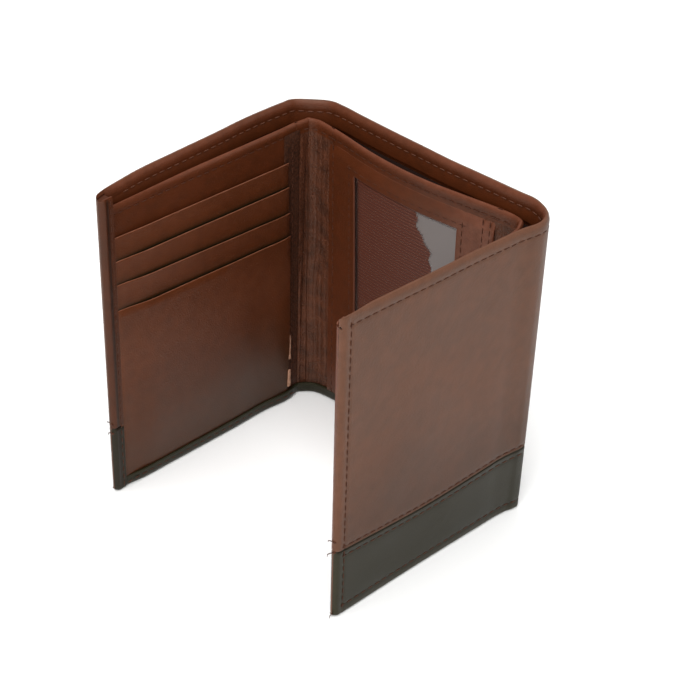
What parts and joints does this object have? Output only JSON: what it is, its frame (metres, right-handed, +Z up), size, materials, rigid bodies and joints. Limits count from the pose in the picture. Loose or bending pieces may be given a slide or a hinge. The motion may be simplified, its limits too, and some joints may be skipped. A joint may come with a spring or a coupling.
{
  "type": "trifold wallet",
  "caption": "Trifold leather wallet standing half open: folding leaves with card pockets, an identity window, a full-length note compartment and a dark band along the foot.",
  "frame": {"origin": "under the middle of the box around the half-open wallet, at the height of its lower edge", "axes": "+Z up the leaves from their dark band to the compartment's mouth; +X along the centre leaf towards the right fold; +Y out of the centre leaf's outer face"},
  "size_m": [0.0954, 0.0884, 0.106],
  "materials": {
    "brown_leather": "smooth semi-gloss",
    "dark_leather": "smooth semi-gloss",
    "inner_leather": "smooth semi-gloss",
    "grained_leather": "grained",
    "lining_fabric": "matte weave",
    "ribbed_fabric": "ribbed",
    "stiffener_board": "plain board",
    "clear_film": "clear",
    "thread": "twisted thread"
  },
  "bodies": {
    "centre_leaf": {"centre_shell": "brown_leather", "centre_band": "dark_leather", "centre_stiffener": "stiffener_board", "centre_bill_lining": "lining_fabric", "centre_divider_lining": "lining_fabric", "centre_inner_wall": "inner_leather", "id_backing": "ribbed_fabric", "id_film": "clear_film", "id_frame": "inner_leather", "window_thread": "thread", "centre_top_thread": "thread", "centre_bottom_thread": "thread", "centre_band_thread_upper": "thread", "centre_band_thread_lower": "thread", "left_fold_shell": "brown_leather", "left_fold_band": "dark_leather", "left_fold_lining": "lining_fabric", "left_fold_gather": "grained_leather", "right_fold_shell": "brown_leather", "right_fold_band": "dark_leather", "right_fold_lining": "lining_fabric", "right_fold_gather": "grained_leather"},
    "left_leaf": {"left_shell": "brown_leather", "left_band": "dark_leather", "left_stiffener": "stiffener_board", "left_bill_lining": "lining_fabric", "left_divider_lining": "lining_fabric", "left_inner_wall": "inner_leather", "left_slip_lining": "lining_fabric", "left_pocket_backing": "inner_leather", "left_card_pocket_1": "inner_leather", "left_card_pocket_2": "inner_leather", "left_card_pocket_3": "inner_leather", "left_front_pocket": "inner_leather", "left_edge_thread": "thread", "left_band_thread_upper": "thread", "left_band_thread_lower": "thread"},
    "right_leaf": {"right_shell": "brown_leather", "right_band": "dark_leather", "right_stiffener": "stiffener_board", "right_bill_lining": "lining_fabric", "right_divider_lining": "lining_fabric", "right_inner_wall": "inner_leather", "right_card_pocket_1": "inner_leather", "right_card_pocket_2": "inner_leather", "right_card_pocket_3": "inner_leather", "right_front_pocket": "inner_leather", "right_edge_thread": "thread", "right_band_thread_upper": "thread", "right_band_thread_lower": "thread"}
  },
  "joints": [
    {"name": "left_fold", "type": "hinge", "parent": "centre_leaf", "child": "left_leaf", "pos_m": [-0.03478, 0.03127, 0], "axis": [0, 0, -1], "range_deg": [-86, 94], "deforming": ["left_fold_shell", "left_fold_band", "left_fold_lining", "left_fold_gather"]},
    {"name": "right_fold", "type": "hinge", "parent": "centre_leaf", "child": "right_leaf", "pos_m": [0.03893, 0.03547, 0], "axis": [0, 0, 1], "range_deg": [-90, 90], "deforming": ["right_fold_shell", "right_fold_band", "right_fold_lining", "right_fold_gather"]}
  ]
}
